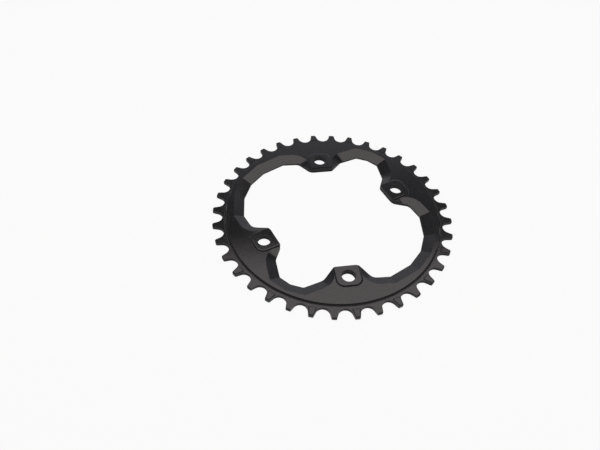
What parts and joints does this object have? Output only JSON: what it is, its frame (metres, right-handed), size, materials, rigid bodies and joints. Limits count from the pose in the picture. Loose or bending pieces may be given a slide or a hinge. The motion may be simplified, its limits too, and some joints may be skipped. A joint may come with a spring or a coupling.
{
  "type": "bicycle chainring",
  "caption": "Flat toothed bicycle chainring with alternating narrow and wide teeth and inward bolt tabs, bolted to a crank to drive the chain.",
  "frame": {"origin": "on the ring's axis, at its flat back face", "axes": "+Z along the axis towards the front, stepped face; +X through the middle of a long gap between bolt tabs, +Y through the middle of a short gap"},
  "size_m": [0.1496, 0.1496, 0.0042],
  "materials": {
    "anodised_alloy": "satin black anodised"
  },
  "bodies": {
    "root": {"chainring": "anodised_alloy"}
  },
  "joints": []
}
